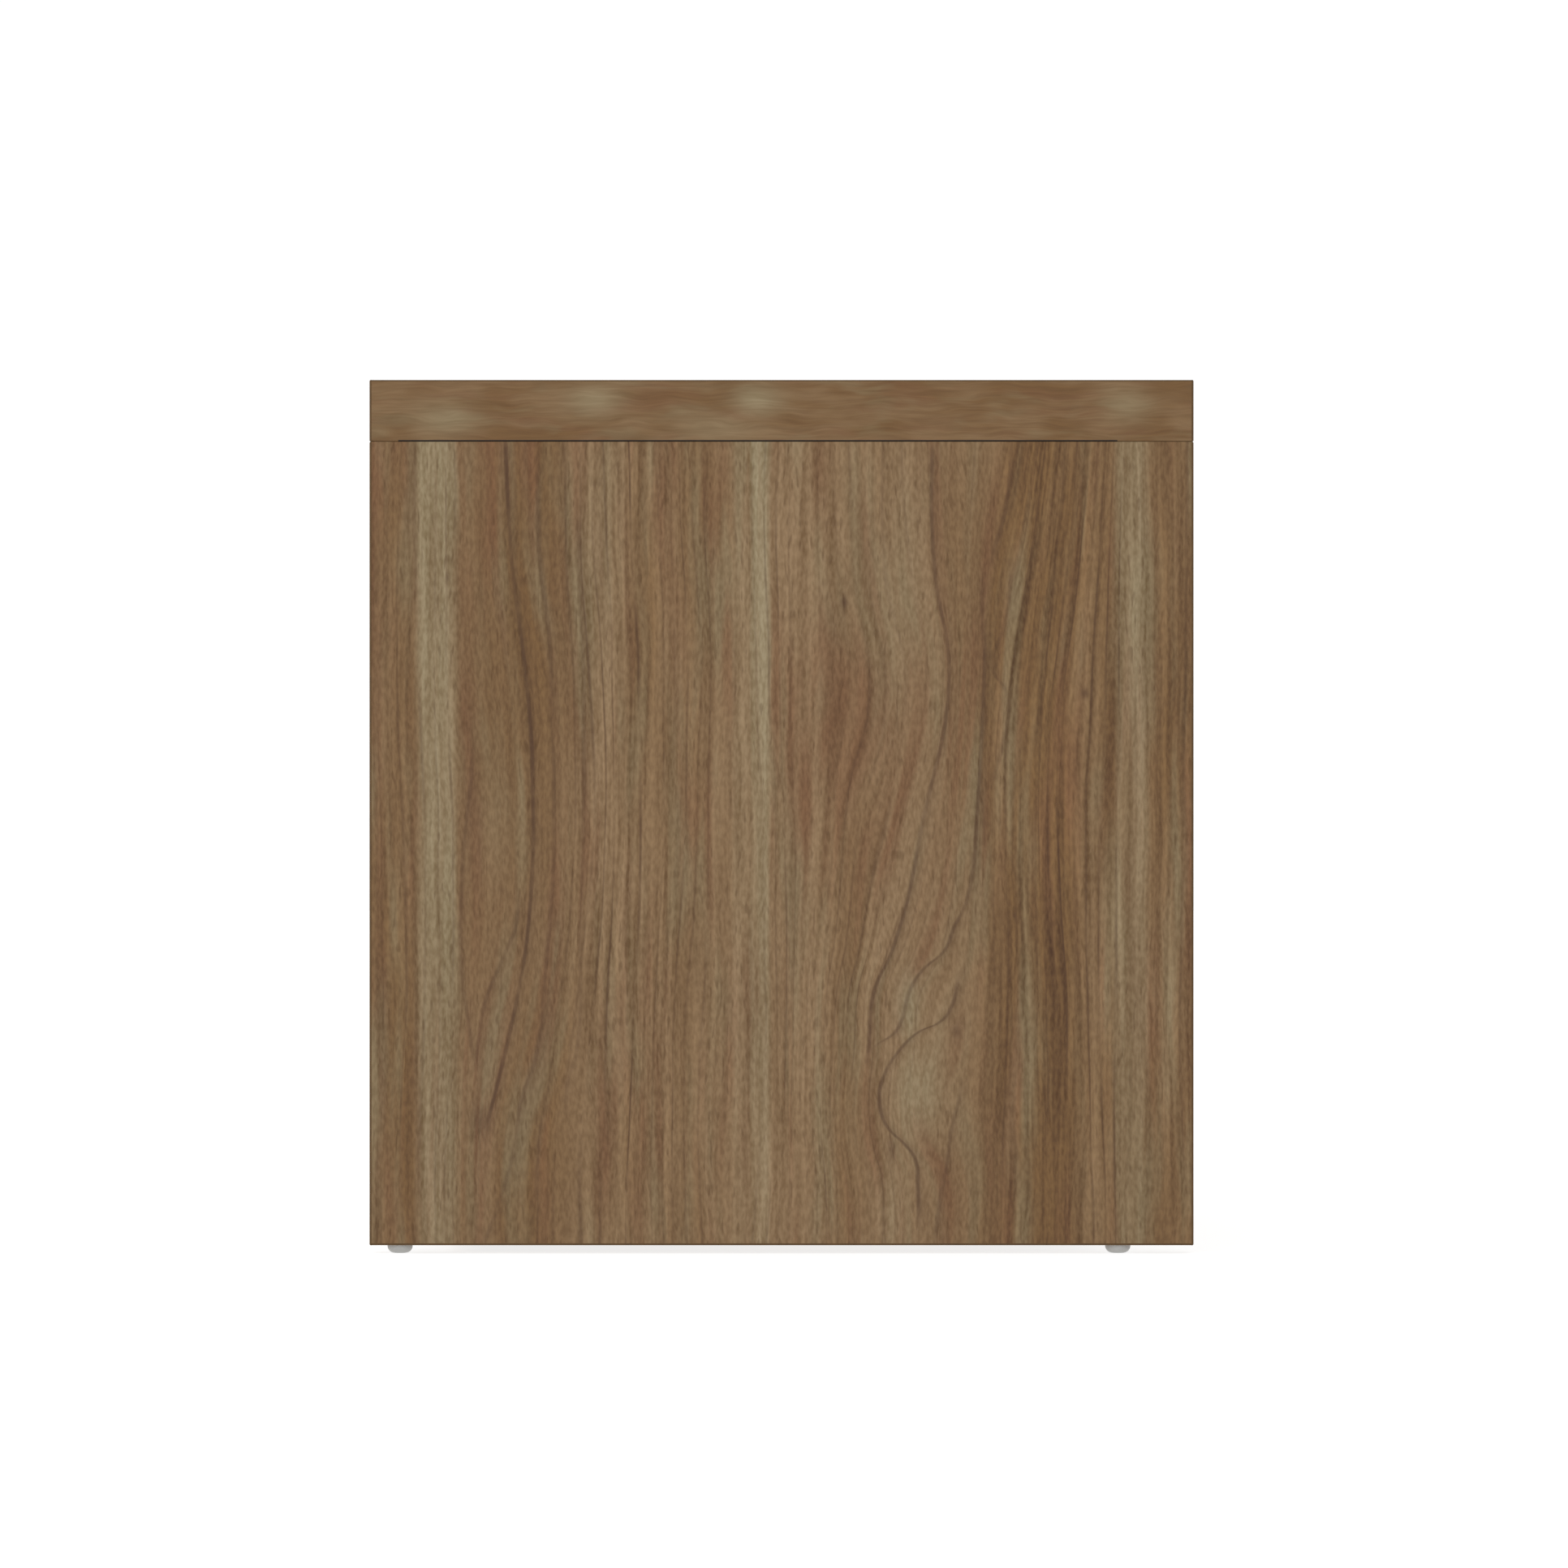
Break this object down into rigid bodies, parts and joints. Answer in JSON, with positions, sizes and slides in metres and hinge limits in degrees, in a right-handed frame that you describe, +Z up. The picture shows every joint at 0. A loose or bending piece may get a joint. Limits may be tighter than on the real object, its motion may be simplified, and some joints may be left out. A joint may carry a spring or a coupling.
{
  "type": "cube storage unit",
  "caption": "Open-fronted cube storage unit of walnut-printed boards with a thick top, a plinth rail and small glides, for keeping things in and on.",
  "frame": {"origin": "on the floor, under the middle of the unit's width and depth", "axes": "+Z up, -Y towards the open front, +X to the right of a person facing the front"},
  "size_m": [0.4, 0.4, 0.424],
  "materials": {
    "walnut_melamine": "walnut-printed melamine, satin",
    "inner_melamine": "walnut-printed melamine, satin",
    "raw_particle_board": "raw particle board",
    "edge_band": "walnut-printed edge band",
    "hardboard": "thin fibreboard, printed front",
    "glide_plastic": "moulded, smooth",
    "cap_plastic": "moulded, fine grain",
    "zinc": "die-cast zinc",
    "beech_dowel": "beech",
    "steel": "zinc-plated steel"
  },
  "bodies": {
    "root": {"left_side_panel": "walnut_melamine", "right_side_panel": "walnut_melamine", "top_board": "walnut_melamine", "sub_top_board": "inner_melamine", "bottom_board": "inner_melamine", "plinth_rail": "inner_melamine", "top_batten_front": "raw_particle_board", "top_batten_back": "raw_particle_board", "top_batten_left": "raw_particle_board", "top_batten_right": "raw_particle_board", "left_side_front_band": "edge_band", "left_side_back_band": "edge_band", "left_side_foot_band": "edge_band", "right_side_front_band": "edge_band", "right_side_back_band": "edge_band", "right_side_foot_band": "edge_band", "sub_top_front_band": "edge_band", "bottom_front_band": "edge_band", "plinth_foot_band": "edge_band", "top_left_band": "edge_band", "top_right_band": "edge_band", "top_front_band": "edge_band", "top_back_band": "edge_band", "back_panel": "hardboard", "glide_front_left": "glide_plastic", "glide_back_left": "glide_plastic", "glide_front_right": "glide_plastic", "glide_back_right": "glide_plastic", "cam_cover_caps": "cap_plastic", "cams": "zinc", "cam_bolts": "zinc", "board_dowels": "beech_dowel", "plinth_dowels": "beech_dowel", "top_dowels": "beech_dowel", "glide_nails": "steel", "top_screws": "steel", "left_corner_bracket": "steel", "right_corner_bracket": "steel", "bracket_board_screws": "steel", "bracket_rail_screws": "steel", "back_nails": "steel"}
  },
  "joints": []
}
